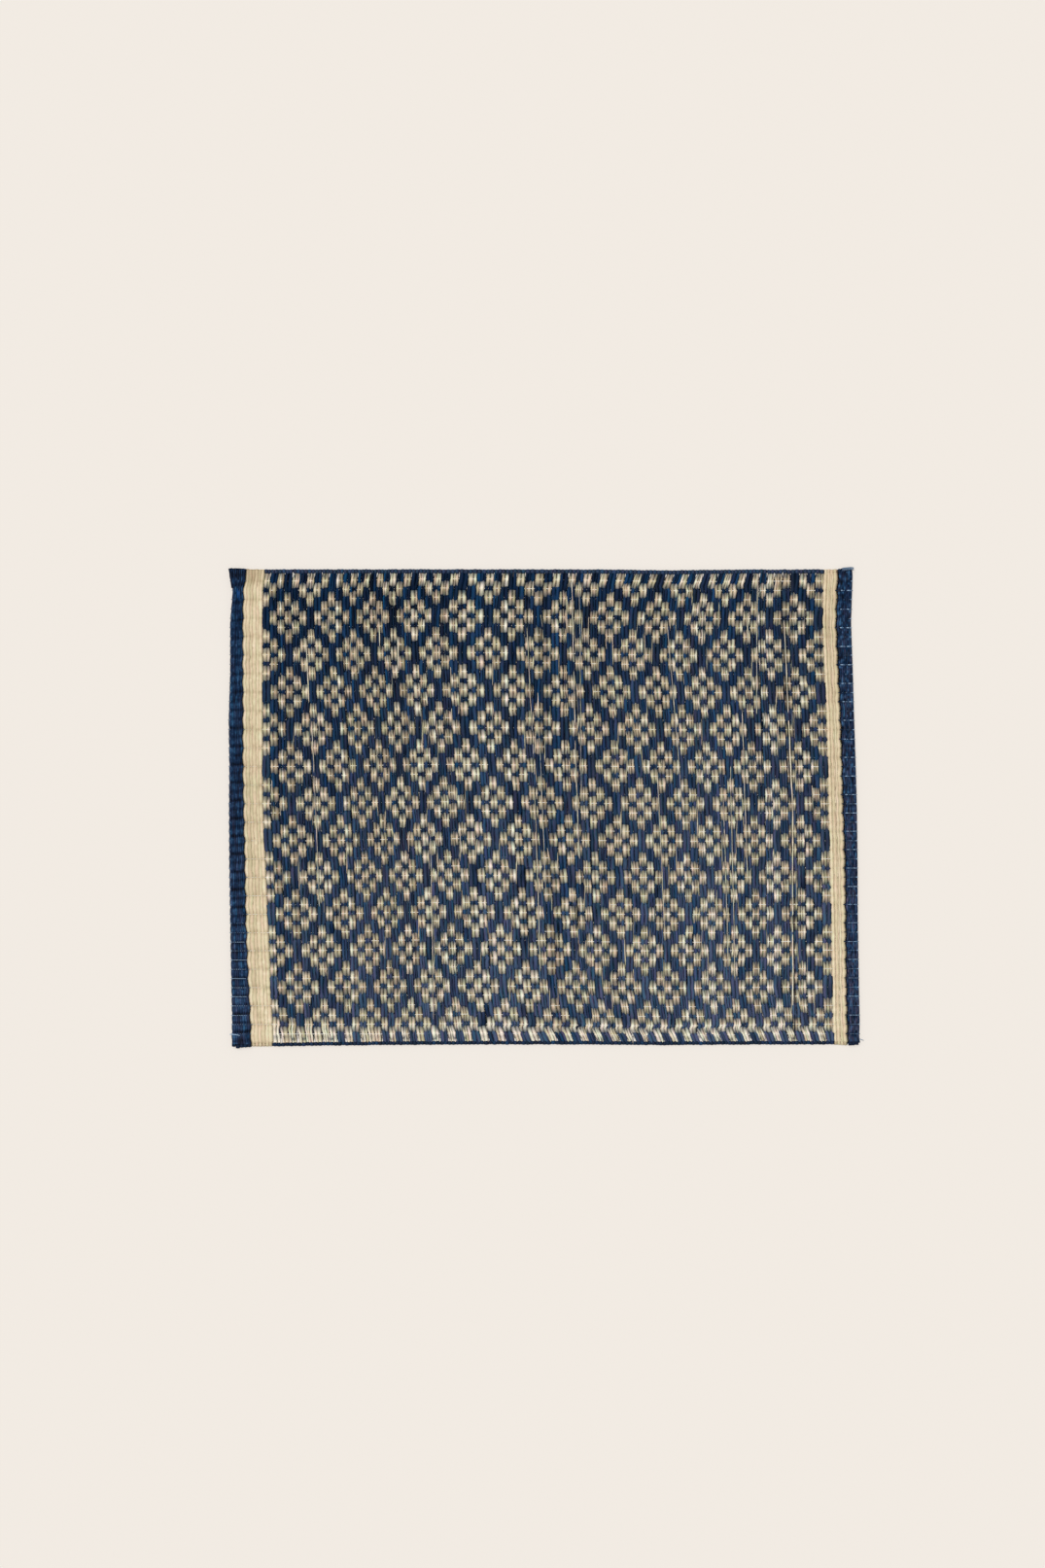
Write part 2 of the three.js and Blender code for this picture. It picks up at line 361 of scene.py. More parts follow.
class Look:
    """A material with a Principled shader, and short ways to add nodes."""

    def __init__(self, name):
        self.material = bpy.data.materials.new(name)
        self.material.use_nodes = True
        self.tree = self.material.node_tree

    def fill(self, node, inputs):
        """Join each named input to a socket, or set it to a plain value."""
        for key, value in inputs.items():
            if isinstance(value, bpy.types.NodeSocket):
                self.tree.links.new(value, node.inputs[key])
            else:
                node.inputs[key].default_value = value

    def node(self, kind, inputs, output=0, **settings):
        made = self.tree.nodes.new(kind)
        for key, value in settings.items():
            setattr(made, key, value)
        self.fill(made, inputs)
        return made.outputs[output]

    def attribute(self, name, output="Fac"):
        return self.node("ShaderNodeAttribute", {}, output, attribute_name=name)

    def math(self, operation, *values, clamp=False):
        return self.node("ShaderNodeMath", dict(enumerate(values)), operation=operation, use_clamp=clamp)

    def vector(self, operation, first, second, output=0):
        return self.node("ShaderNodeVectorMath", {0: first, 1: second}, output, operation=operation)

    def centred(self, value, gain, offset=0.0):
        """A 0 to 1 value turned into one that swings about the offset."""
        return self.math("MULTIPLY_ADD", value, gain, offset - gain / 2)

    def fibre_noise(self, scale, detail=2.0, roughness=0.5):
        """Noise laid along the strand."""
        place = self.vector("MULTIPLY", self.attribute("fibre", "Vector"), scale)
        inputs = {"Vector": place, "Scale": 1.0, "Detail": detail, "Roughness": roughness}
        return self.node("ShaderNodeTexNoise", inputs)

    def ramp(self, level, colours):
        """Even colour steps for a level from 0 to 1."""
        colour = self.node("ShaderNodeValToRGB", {"Fac": level})
        stops = colour.node.color_ramp.elements
        stops[0].color, stops[1].color = opaque(colours[0]), opaque(colours[-1])
        for index, middle in enumerate(colours[1:-1], start=1):
            stops.new(index / (len(colours) - 1)).color = opaque(middle)
        return colour

    def blend(self, factor, first, second):
        inputs = {MIX_FACTOR: factor, MIX_FIRST: first, MIX_SECOND: second}
        return self.node("ShaderNodeMix", inputs, MIX_RESULT, data_type="RGBA")

    def bump(self, relief, strength, distance):
        inputs = {"Height": relief, "Strength": strength, "Distance": distance}
        return self.node("ShaderNodeBump", inputs)

    def surface(self, inputs):
        self.fill(self.tree.nodes["Principled BSDF"], inputs)
        return self.material


def reed_material(name, colours, tints, shaded, roughness, specular, streak_gain, shade_gain):
    """Streaky split reed: its tone picks from the colours, its shade, which is painted light, draws it to
    the shaded colour, and its hue wanders between two tints.
    """
    look = Look(name)
    streaks = look.fibre_noise(STREAKS, detail=5.0, roughness=0.65)
    blotches, hues = look.fibre_noise(BLOTCHES), look.fibre_noise(HUES)
    fine, broad = look.centred(streaks, streak_gain), look.centred(blotches, streak_gain * BLOTCH_SHARE)
    level = look.math("ADD", look.attribute("tone"), look.math("ADD", fine, broad), clamp=True)
    # The shade attribute is painted light, streaky along the fibre: painted shade on natural reeds,
    # painted sheen on dyed ones
    streaky = look.centred(streaks, shade_gain, 1.0)
    shade = look.math("MULTIPLY", look.attribute("shade"), streaky, clamp=True)
    plain = look.blend(shade, look.ramp(level, colours), opaque(shaded))
    hue = look.node("ShaderNodeMapRange", {"Value": hues, "From Min": HUE_FROM, "From Max": HUE_TO})
    tint = look.blend(hue, *map(opaque, tints))
    return look.surface(
        {
            "Base Color": look.vector("MULTIPLY", plain, tint),
            "Roughness": look.centred(streaks, ROUGHNESS_SWING, roughness),
            "Specular IOR Level": specular,
            "Normal": look.bump(streaks, *REED_BUMP),
        }
    )


def thread_material(name, dark, light):
    """Twisted thread: the twist shows in its colour and its relief."""
    look = Look(name)
    wave = look.math("SINE", look.vector("DOT_PRODUCT", look.attribute("fibre", "Vector"), TWIST, "Value"))
    ply = look.math("MULTIPLY", wave, TWIST_SHOWS)
    level = look.math("ADD", look.attribute("tone"), ply, clamp=True)
    return look.surface(
        {
            "Base Color": look.ramp(level, (dark, light)),
            "Roughness": 0.85,
            "Specular IOR Level": 0.15,
            "Normal": look.bump(wave, *THREAD_BUMP),
        }
    )


# What the natural reeds have in common, and the dyed ones
UNDYED = {"roughness": 0.55, "specular": 0.3, "shade_gain": 0.5}
DYED = {"roughness": 0.5, "shade_gain": 3.0}

# The shaded colours are painted light: painted shade for the natural reeds and bands, painted sheen for
# the dyed ones
NATURAL = reed_material(
    "natural_reed",
    colours=((0.36, 0.28, 0.17), (0.69, 0.58, 0.39), (0.96, 0.91, 0.77)),
    tints=((1.11, 0.94, 0.97), (0.93, 1.04, 0.9)),
    shaded=(0.015, 0.045, 0.08), streak_gain=1.0, **UNDYED,
)
BAND = reed_material(
    "band_reed",
    colours=((0.42, 0.33, 0.2), (0.68, 0.57, 0.39), (0.88, 0.8, 0.62)),
    tints=((1.06, 0.96, 0.97), (0.96, 1.02, 0.93)),
    shaded=(0.12, 0.1, 0.07), streak_gain=0.6, **UNDYED,
)
NAVY = reed_material(
    "navy_reed",
    colours=((0.001, 0.003, 0.009), (0.003, 0.016, 0.046), (0.004, 0.05, 0.13)),
    tints=((1.4, 0.88, 1.03), (0.65, 1.1, 1.03)),
    shaded=(0.064, 0.098, 0.167), specular=0.06, streak_gain=1.35, **DYED,
)
HEM = reed_material(
    "hem_reed",
    colours=((0.001, 0.003, 0.009), (0.003, 0.021, 0.062), (0.04, 0.125, 0.245)),
    tints=((1.2, 0.95, 1.01), (0.75, 1.03, 1.02)),
    shaded=(0.1, 0.105, 0.17), specular=0.04, streak_gain=1.4, **DYED,
)
BRIGHT = reed_material(
    "bright_reed",
    colours=((0.001, 0.015, 0.06), (0.001, 0.045, 0.17), (0.002, 0.085, 0.28)),
    tints=((1.1, 0.95, 1.0), (0.9, 1.05, 1.0)),
    shaded=(0.08, 0.1, 0.15), specular=0.08, streak_gain=1.0, **DYED,
)
THREAD = thread_material("cotton_thread", dark=(0.45, 0.42, 0.36), light=(0.96, 0.94, 0.88))
BLUE_THREAD = thread_material("blue_thread", dark=(0.01, 0.025, 0.06), light=(0.34, 0.49, 0.67))


# The reeds of the lattice field

REED_HEIGHT = 0.86
REED_COVER = 0.98

# The lengths of the waves in which a strand wanders
WANDER_LENGTHS = (23.0, 51.0, 117.0)

# Where navy takes over, in row pitches from a spot's middle, how much earlier at the column's sides, its
# spread, and half of its length
CROSSING, CROSSING_BEND, CROSSING_SPREAD, CROSSING_HALF = 0.85, 0.2, 0.06, 0.14

# A reed from a spot's middle outwards: step, height, fill, which is its share of its room, and painted
# shade.
# A step is in row pitches, but -1 and 1 are the two sides of the crossing
# The painted shade darkens a natural reed towards where it dives under the navy
NATURAL_STEPS = ((0, 1.8, 0.93, 0), (0.3, 1.74, 0.96, 0.4), (-1, 1.46, 0.98, 0.76), (1, 0.95, 0.98, 1))
NAVY_STEPS = ((0, 0.66, 1.02, 0), (-1, 0.74, 1.04, 0), (1, 2.04, 0.97, 0))

# Height, fill and painted shade halfway to a spot right below, and on a navy float: in a row, between
# rows, alone
NATURAL_BETWEEN, NAVY_BETWEEN = (1.74, 0.9, 0.32), (0.66, 1.02, 0)
FLOAT, FLOAT_MIDDLE, LONE_FLOAT = (2.16, 1.03, 0), (2.21, 1.03, 0), (2.1, 0.9, 0)

# Spots side by side in one row have less room
CROWDED_FILL = 0.8

# How many reeds a column has: one of these at random
NATURAL_COUNTS, NAVY_COUNTS = (2, 2, 3), (2, 3)

# A column's shift at each row, and how it grows at the last one
WOBBLE, LAST_WOBBLE = 0.16, 3

# How uneven a reed is from ring to ring: fill, place, width, height, tone and painted shade
UNEVEN_FILL, UNEVEN_X, UNEVEN_WIDTH, UNEVEN_Z, UNEVEN_LOOK = 0.04, 0.09, 0.08, 0.05, 0.09

# Slow wander of its place and its tone, and of the painted sheen on a dark reed
WANDER_X, WANDER_TONE, WANDER_SHEEN = 0.12, 0.05, 0.35

# Tones, mean and spread, and the share of deep ones among the navy reeds
NATURAL_TONE, DEEP_TONE, LIGHT_TONE = (0.5, 0.2), (0.34, 0.12), (0.64, 0.13)
DEEP_SHARE = 0.74

# How much lighter natural reeds get to the lower right, which is painted light, and above TOP_Y and below
# BOTTOM_Y
LIGHTER_RIGHT, LIGHTER_TOP, LIGHTER_BOTTOM = 0.07, 0.12, 0.3
TOP_Y, BOTTOM_Y = 160, -158

# Past EDGE_RINGS a reed has one ring at END_RINGS and one ROLL_INSET inside the long edge, turned down
EDGE_RINGS = (-0.6, LAST_ROW + 0.6)
END_RINGS = (-0.88, LAST_ROW + 0.88)
ROLL_INSET, LEAST_STEP = 1.6, 0.5

# Height, fill and painted shade of a reed's end on top, natural in the first row or the last, and of one
# below
NATURAL_OVER, NATURAL_UNDER = ((1.75, 0.7, 0.66), (1.85, 0.85, 0.1)), (1.0, 0.78, 1.0)
NAVY_OVER, NAVY_UNDER = (2.0, 1.0, 0.0), (0.8, 0.8, 0.0)

# Painted sheen that greys the dark reeds: at the mat's middle, towards the front and the right, and its
# range
PAINTED_SHEEN, SHEEN_FRONT, SHEEN_RIGHT, SHEEN_RANGE = 0.32, 0.31, 0.08, (0.45, 1.6)


def widths_of(count, unevenness=0.3):
    """The edges of count strands that share a column, from -1 to 1."""
    parts = 1 + unevenness * rng.uniform(-1, 1, count)
    return np.concatenate([[0], np.cumsum(parts) / parts.sum()]) * 2 - 1


def slow_wave(along, size):
    """A gentle wander along a strand."""
    total = np.zeros(len(along))
    for length in WANDER_LENGTHS:
        total += np.sin(along / length * 2 * math.pi + rng.uniform(0, 2 * math.pi))
    return size * total / 2


def spot_rings(column, row, place, steps, between, room=1.0):
    """Row, height, fill and shade at a reed's rings about one spot."""
    _, z, fill, shade = steps[0]
    rings = [(row, z, fill * room, shade)]
    for side in (-1, 1):
        crossing = CROSSING - CROSSING_BEND * place * place + rng.normal(0, CROSSING_SPREAD)
        if is_spot(column, row + side):
            rings.append((row + side * 0.5, *between))
            continue
        for step, z, fill, shade in steps[1:]:
            offset = crossing + step * CROSSING_HALF if step in (-1, 1) else step
            rings.append((row + side * offset, z, fill, shade))
    return rings


def natural_rings(column, place):
    """A natural reed only bends at its spots."""
    rings = []
    for row in range(WARP_ROWS):
        if is_spot(column, row):
            crowded = is_spot(column - 1, row) or is_spot(column + 1, row)
            room = CROWDED_FILL if crowded else 1.0
            rings += spot_rings(column, row, place, NATURAL_STEPS, NATURAL_BETWEEN, room)
    return rings


def navy_rings(column, place):
    """A navy reed floats, and dips under the spots."""
    rings = []
    for row in range(WARP_ROWS):
        if is_spot(column, row):
            rings += spot_rings(column, row, place, NAVY_STEPS, NAVY_BETWEEN)
        elif is_spot(column, row - 1) and is_spot(column, row + 1):
            rings.append((row, *LONE_FLOAT))
        else:
            rings.append((row, *FLOAT))
            if row < LAST_ROW and not is_spot(column, row + 1):
                rings.append((row + 0.5, *FLOAT_MIDDLE))
    return rings


def weave_reed(strands, column, low, high, rings, tone, ends, wobble, dark):
    """One reed between low and high of a column, which reaches from -1 to 1.

    rings: row, height, fill and shade. ends: the last three at its ends. wobble: the column's shift.
    """
    place = (low + high) / 2
    inner = [ring for ring in sorted(set(rings)) if EDGE_RINGS[0] < ring[0] < EDGE_RINGS[1]]
    inner = [(END_RINGS[0], *ends[0])] + inner + [(END_RINGS[1], *ends[1])]
    rows, z, fill, shade = (np.array(values, float) for values in zip(*inner))
    fill = fill * (1 + rng.normal(0, UNEVEN_FILL, len(rows)))
    y = row_y(column, rows)
    west, east = border_x(column, rows, y), border_x(column + 1, rows, y)
    half = (east - west) / 2
    x = (west + east) / 2 + np.interp(rows, range(WARP_ROWS), wobble) + half * place * fill
    x = x + slow_wave(y, WANDER_X) + rng.normal(0, UNEVEN_X, len(rows))
    width = half * (high - low) * fill * REED_COVER + rng.normal(0, UNEVEN_WIDTH, len(rows))
    z = z + rng.normal(0, UNEVEN_Z, len(rows))

    top = long_edge_y("top", x[0]) - ROLL_INSET
    bottom = long_edge_y("bottom", x[-1]) + ROLL_INSET
    x, y, z, width, shade = (np.pad(values, 1, "edge") for values in (x, y, z, width, shade))
    y[0], y[-1] = max(top, y[0] + LEAST_STEP), min(bottom, y[-1] - LEAST_STEP)
    z[[0, -1]] = z[[0, -1]] * 0.6 + 0.6

    # A dark reed gets painted sheen, greyer towards the front and the right and uneven from reed to reed
    if dark:
        sheen = np.clip(PAINTED_SHEEN - y / HALF_Y * SHEEN_FRONT + x / HALF_X * SHEEN_RIGHT, 0, 1)
        shade = sheen * (rng.uniform(*SHEEN_RANGE) + slow_wave(y, WANDER_SHEEN))
    else:
        # A natural reed gets lighter to the lower right, which is painted light, and its painted shade
        # varies a little
        tone = tone + rng.normal(0, UNEVEN_LOOK, len(y)) + LIGHTER_RIGHT * (x / HALF_X - y / HALF_Y)
        tone = tone + LIGHTER_TOP * (y > TOP_Y) + LIGHTER_BOTTOM * (y < BOTTOM_Y)
        shade = np.clip(shade + rng.normal(0, UNEVEN_LOOK, len(y)) * (shade > 0.2), 0, 1)
    path = np.stack([x, y, z], -1)
    strands.add(path, width, REED_HEIGHT, tone + slow_wave(y, WANDER_TONE), shade)


def natural_end(column, row):
    return NATURAL_OVER[0 if row == 0 else 1] if is_spot(column, row) else NATURAL_UNDER


def navy_end(column, row):
    return NAVY_UNDER if is_spot(column, row) else NAVY_OVER


def natural_tone():
    return rng.normal(*NATURAL_TONE)


def navy_tone():
    return rng.normal(*(DEEP_TONE if rng.random() < DEEP_SHARE else LIGHT_TONE))


def weave_field():
    """The natural reeds, and the navy ones of each half."""
    natural, west, east = Strands(tiers=2), Strands(), Strands()
    for column in range(REED_COLUMNS):
        wobble = rng.normal(0, WOBBLE, WARP_ROWS)
        wobble[-1] *= LAST_WOBBLE
        navy = west if column < REED_COLUMNS // 2 else east
        for strands, counts, rings_of, end, tone_of in (
            (natural, NATURAL_COUNTS, natural_rings, natural_end, natural_tone),
            (navy, NAVY_COUNTS, navy_rings, navy_end, navy_tone),
        ):
            edges = widths_of(rng.choice(counts))
            ends = end(column, 0), end(column, LAST_ROW)
            for low, high in zip(edges, edges[1:]):
                rings = rings_of(column, (low + high) / 2)
                tone = tone_of()
                weave_reed(strands, column, low, high, rings, tone, ends, wobble, strands is navy)
    return natural, west, east


# Natural bands and navy hems at the two ends

# A crease's reach in row pitches, its depth at the top edge, and the row from which on it is deepest
CREASE_REACH, TOP_CREASE_DEPTH, DEEP_CREASE_ROW = 0.2, 0.45, 0.6 * LAST_ROW

# Creases: the row of one of them, rows from one to the next, and how deep every second one is
EVERY_ROW, EVERY_OTHER_ROW, WEST_FOLDS = (0.0, 1.0, 1.0), (0.0, 1.0, 0.0), (2.3, 0.968, 0.6)

# Height of a band's middle above the table, and its thickness
BAND_Z, BAND_HEIGHT = 1.8, 0.6
HEM_Z, HEM_HEIGHT = 2.72, 1.1
FLAP_Z, FLAP_HEIGHT = 0.72, 0.9
FOLD_Z, FOLD_HEIGHT, FOLD_WIDTH = 1.75, 2.5, 2.0

# Where along Y the tones of a band are given
BAND_TONE_Y = (-150, 0, 157, 166)

# How far inside the long edges a band's reeds stop, and their least step at one ring for each row
BAND_TOP_INSET, BAND_BOTTOM_INSET, BAND_STEP = 1.1, -1.6, 3.2

# A hem's folded edge: its Y limits and least step, how far it draws in within CORNER_LENGTH past
# CORNER_Y, and how far inside the hem's outer line it lies
FOLD_LIMITS, FOLD_STEP = (-171.6, 173.2), 0.8
CORNER_Y, CORNER_LENGTH = -166.0, 5.6
CORNER_ROUND = {"west": 1.1, "east": -1.3}
EDGE_INSET = {"west": 0.85, "east": 0.65}

# Dark lines along the right band, thin dark strands that paint the shade in a gap between its reeds: their
# place across it, and their painted shade
BAND_LINES = ((0.55, 0.5), (0.2, 0.1))


def rippled_x(name, y):
    """The X of a lengthwise line. The hems' inner edges ripple with the warp rows."""
    ripple = 0.35 * np.cos((FIRST_ROW_Y - y) / ROW_PITCH * math.pi)
    return section_x(name, y) + (ripple if name.startswith("hem") else 0.0)


def falling(y, least_step):
    """Which places along a strand lie more than the least step below the one before."""
    return np.concatenate([[True], np.diff(y) < -least_step])


@dataclass
class EndBand:
    """The reeds between two lengthwise lines of the mat, pressed down at creases."""

    lines: tuple
    insets: tuple
    count: int
    # The column whose rows it shares, the reeds' height and thickness, and their swing in height
    column: int
    z: float
    height: float
    puff: float
    # Tones at BAND_TONE_Y, their spread, slow wander along a reed, and mottling
    tones: tuple = (0.3, 0.3, 0.3, 0.3)
    tone_spread: float = 0.08
    wander: float = 0.08
    mottle: float = 0.0
    # Painted light and shade: how much lighter it is between creases than in them, and how much more so at
    # its two edges
    glow: float = 0.0
    edge_glow: float = 1.0
    # How much painted sheen greys it
    grey: float = 0.0
    creases: tuple = EVERY_ROW
    # The reeds' width beside their room, and rings for each warp row
    spread: float = 1.2
    samples: int = 4

    def limits(self, y):
        low, high = self.lines
        return rippled_x(low, y) + self.insets[0], rippled_x(high, y) - self.insets[1]

    def lift(self, rows):
        """How high the reeds stand, from -1 in a full crease to 1 between creases."""
        first, pitch, lesser = self.creases
        turns = (rows - first) / pitch
        nearest = np.round(turns)
        depth = np.where(nearest % 2 == 0, 1.0, lesser)
        depth = depth * np.interp(rows, (0, DEEP_CREASE_ROW), (TOP_CREASE_DEPTH, 1.0))
        return 1 - 2 * depth * np.exp(-(((turns - nearest) * pitch / CREASE_REACH) ** 2))

    def weave(self, strands):
        edges = (widths_of(self.count, 0.18) + 1) / 2
        rows = np.arange(-2 * self.samples, self.samples * WARP_ROWS + 2) / self.samples
        y = row_y(self.column, rows)
        ends_x = section_x(self.lines[0], y)[[0, -1]]
        top = long_edge_y("top", ends_x[0]) - BAND_TOP_INSET
        bottom = long_edge_y("bottom", ends_x[1]) - BAND_BOTTOM_INSET
        y = np.clip(y, bottom, top)
        kept = falling(y, BAND_STEP / self.samples)
        y, rows = y[kept], rows[kept]
        west, east = self.limits(y)
        for index, (low, high) in enumerate(zip(edges, edges[1:])):
            lift = self.lift(rows + rng.normal(0, 0.04)) * (1 + rng.normal(0, 0.12, len(y)))
            x = west + (east - west) * ((low + high) / 2) + slow_wave(y, 0.08)
            width = (east - west) * (high - low) * (self.spread + 0.05 * lift)
            z = self.z + self.puff * lift + rng.normal(0, 0.03, len(y))
            # Painted sheen: greyer towards the front and on the puffs between creases, in patches
            light = (1 - 0.6 * y / HALF_Y) * (0.7 + 0.3 * lift) * (1 + slow_wave(y, 0.5))
            light = light * (1 + rng.normal(0, 2 * self.mottle, len(y)))
            # Painted light and shade: lighter between creases, darker in them
            glow = self.glow * (self.edge_glow if index in (0, self.count - 1) else 1.0)
            tone = np.interp(y, BAND_TONE_Y, self.tones) + rng.normal(0, self.tone_spread)
            tone = tone + slow_wave(y, self.wander)
            tone = tone + glow * lift + rng.normal(0, self.mottle, len(y))
            shade = np.clip(self.grey * light, 0, 1)
            strands.add(np.stack([x, y, z], -1), width, self.height, tone, shade)


WEST_BAND = EndBand(
    ("hem_west", "field_west"), (0.1, 0.2), 6, 0, BAND_Z, BAND_HEIGHT, puff=0.2,
    tones=(0.37, 0.27, 0.36, 0.05), tone_spread=0.05, mottle=0.05, glow=0.11, edge_glow=2.0,
    creases=EVERY_OTHER_ROW, spread=1.6,
)
EAST_BAND = EndBand(
    ("field_east", "hem_east"), (0.0, 0.6), 4, LAST_COLUMN, BAND_Z, BAND_HEIGHT, puff=0.1,
    tones=(0.53, 0.45, 0.36, 0.36), tone_spread=0.04, mottle=0.03, glow=0.05, edge_glow=2.0, spread=1.6,
)
WEST_HEM = EndBand(
    ("west", "hem_west"), (1.7, 0.75), 7, 0, HEM_Z, HEM_HEIGHT, puff=0.32,
    tones=(0.33, 0.31, 0.33, 0.28), tone_spread=0.06, wander=0.14, mottle=0.08, glow=0.26, grey=0.1,
    creases=WEST_FOLDS, spread=1.3, samples=8,
)
EAST_HEM = EndBand(
    ("hem_east", "east"), (0.75, 1.55), 7, LAST_COLUMN, HEM_Z, HEM_HEIGHT, puff=0.14,
    tones=(0.38, 0.39, 0.41, 0.4), tone_spread=0.05, mottle=0.24, glow=0.08, grey=0.21,
)
# The part of each hem that is folded under
WEST_FLAP = EndBand(("west", "hem_west"), (1.1, -1.2), 6, 0, FLAP_Z, FLAP_HEIGHT, puff=0.1)
EAST_FLAP = EndBand(("hem_east", "east"), (-1.2, 1.1), 6, LAST_COLUMN, FLAP_Z, FLAP_HEIGHT, puff=0.1)


# Painted shade: thin dark strands along the right band where a gap between its reeds lies in shade
def band_lines(strands):
    rows = np.arange(-3, 4 * LAST_ROW + 4) / 4
    y = row_y(EAST_BAND.column, rows)
    west, east = EAST_BAND.limits(y)
    for share, shade in BAND_LINES:
        x = west + (east - west) * share + slow_wave(y, 0.1)
        z = BAND_Z + EAST_BAND.puff * EAST_BAND.lift(rows) + 0.28
        strands.add(np.stack([x, y, z], -1), 0.32, 0.3, tone=0.1, shade=shade)


def folded_edge(strands, hem, line, inward):
    """One thick strand, which bulges between creases."""
    rows = np.arange(-8, 4 * WARP_ROWS + 2) / 4
    y = np.clip(row_y(hem.column, rows), *FOLD_LIMITS)
    kept = falling(y, FOLD_STEP)
    y, rows = y[kept], rows[kept]
    bulge = 0.5 * hem.puff * hem.lift(rows)
    corner = CORNER_ROUND[line] * np.clip((CORNER_Y - y) / CORNER_LENGTH, 0, 1) ** 2
    x = section_x(line, y) + inward * (FOLD_WIDTH / 2 + EDGE_INSET[line] - bulge + corner)
    path = np.stack([x, y, np.full(len(y), FOLD_Z)], -1)
    # Its shade is a little painted sheen
    strands.add(path, FOLD_WIDTH + bulge, FOLD_HEIGHT, tone=0.35, shade=0.1, sides=6)


def weave_bands():
    """The natural bands, and the left and the right hem."""
    bands, west_hem, east_hem = Strands(), Strands(), Strands()
    WEST_BAND.weave(bands)
    EAST_BAND.weave(bands)
    band_lines(bands)
    WEST_HEM.weave(west_hem)
    EAST_HEM.weave(east_hem)
    WEST_FLAP.weave(west_hem)
    EAST_FLAP.weave(east_hem)
    folded_edge(west_hem, WEST_HEM, "west", 1)
    folded_edge(east_hem, EAST_HEM, "east", -1)
    return bands, west_hem, east_hem


# Warp threads

THREAD_WIDTH, THREAD_HEIGHT = 0.48, 0.38
OVER_SPOT_Z, UNDER_FLOAT_Z, BACK_Z = 2.24, 1.56, 0.26

# A thread dips so deep at so much from either side of a spot
DIP, DIP_INSET = 0.22, 1.0

# Tone of the pale threads, mean and spread, and how far each strays along Y
THREAD_TONE, THREAD_JITTER = (0.75, 0.12), 0.12

# The back threads: points on each, how far below its row it runs, and its slight wave in height
BACK_POINTS, BACK_SHIFT, BACK_WAVE = REED_COLUMNS + 2, 0.12, 0.06

# A thread's way round a folded edge, from underneath to the top: distance from the edge, and height
FOLD_WAY = ((11.0, BACK_Z), (1.9, BACK_Z), (0.35, 1.1), (0.3, 2.3), (1.6, 3.1))

# How far the thread shows on the right hem, west to east, on even and odd rows: 1 on top, 0 under
EAST_HEM_SHOWS = (
    (0.3, 0.2, 0.1, 0.1, 0.5, 0.1, 0.1, 0.2, 0.7),
    (0.1, 0.3, 1.4, 0.2, 0.5, 0.1, 0.5, 1.4, 0.4),
)


def sunk(x, y):
    """How deep the threads lie between the reeds: deepest in the upper left part."""
    return 0.3 * np.clip(0.35 + (y / HALF_Y - x / HALF_X) * 0.45, 0, 1)


def face_thread(row):
    """A warp thread over the natural spots and under the navy floats."""
    points = []
    for column in range(REED_COLUMNS):
        y = row_y(column, row)
        west, east = border_x(column, row, y), border_x(column + 1, row, y)
        middle = (west + east) / 2
        if is_spot(column, row):
            z = OVER_SPOT_Z - sunk(west, y)
            points += [(west + DIP_INSET, y, z - DIP), (middle, y, z), (east - DIP_INSET, y, z - DIP)]
        else:
            points.append((middle, y, UNDER_FLOAT_Z))
    return points


def band_thread(band, row, heights):
    """The thread across a band at a warp row, with its heights at even steps."""
    y = row_y(band.column, row)
    west, east = band.limits(y)
    shares = (np.arange(len(heights)) + 0.5) / len(heights)
    return [(west + (east - west) * share, y, z) for share, z in zip(shares, heights)]


def east_hem_heights(row):
    """In the upper part only dashes of the thread show, and lower down more of it does."""
    shows = np.array(EAST_HEM_SHOWS[row % 2])
    shows = shows + rng.normal(0, 0.12, len(shows))
    shows = np.maximum(shows, 0.55 * row / LAST_ROW)
    return HEM_Z - 0.15 + 0.58 * shows


def fold_thread(line, inward, row, column):
    y = row_y(column, row)
    x = section_x(line, y)
    return [(x + inward * distance, y, z) for distance, z in FOLD_WAY]


def back_thread(row):
    """The thread across the underside."""
    steps = np.arange(BACK_POINTS)
    west = section_x("hem_west", row_y(0, row))
    east = section_x("hem_east", row_y(LAST_COLUMN, row))
    y = [row_y(column, row + BACK_SHIFT) for column in np.clip(steps - 1, 0, LAST_COLUMN)]
    z = BACK_Z + BACK_WAVE * np.cos(steps * math.pi)
    return np.stack([np.linspace(west, east, BACK_POINTS), y, z], -1)


def add_thread(strands, points, jitter, tone, width=THREAD_WIDTH):
    path = np.array(points)
    path[:, 1] += jitter
    strands.add(path, width, THREAD_HEIGHT, tone, side=NORTH)


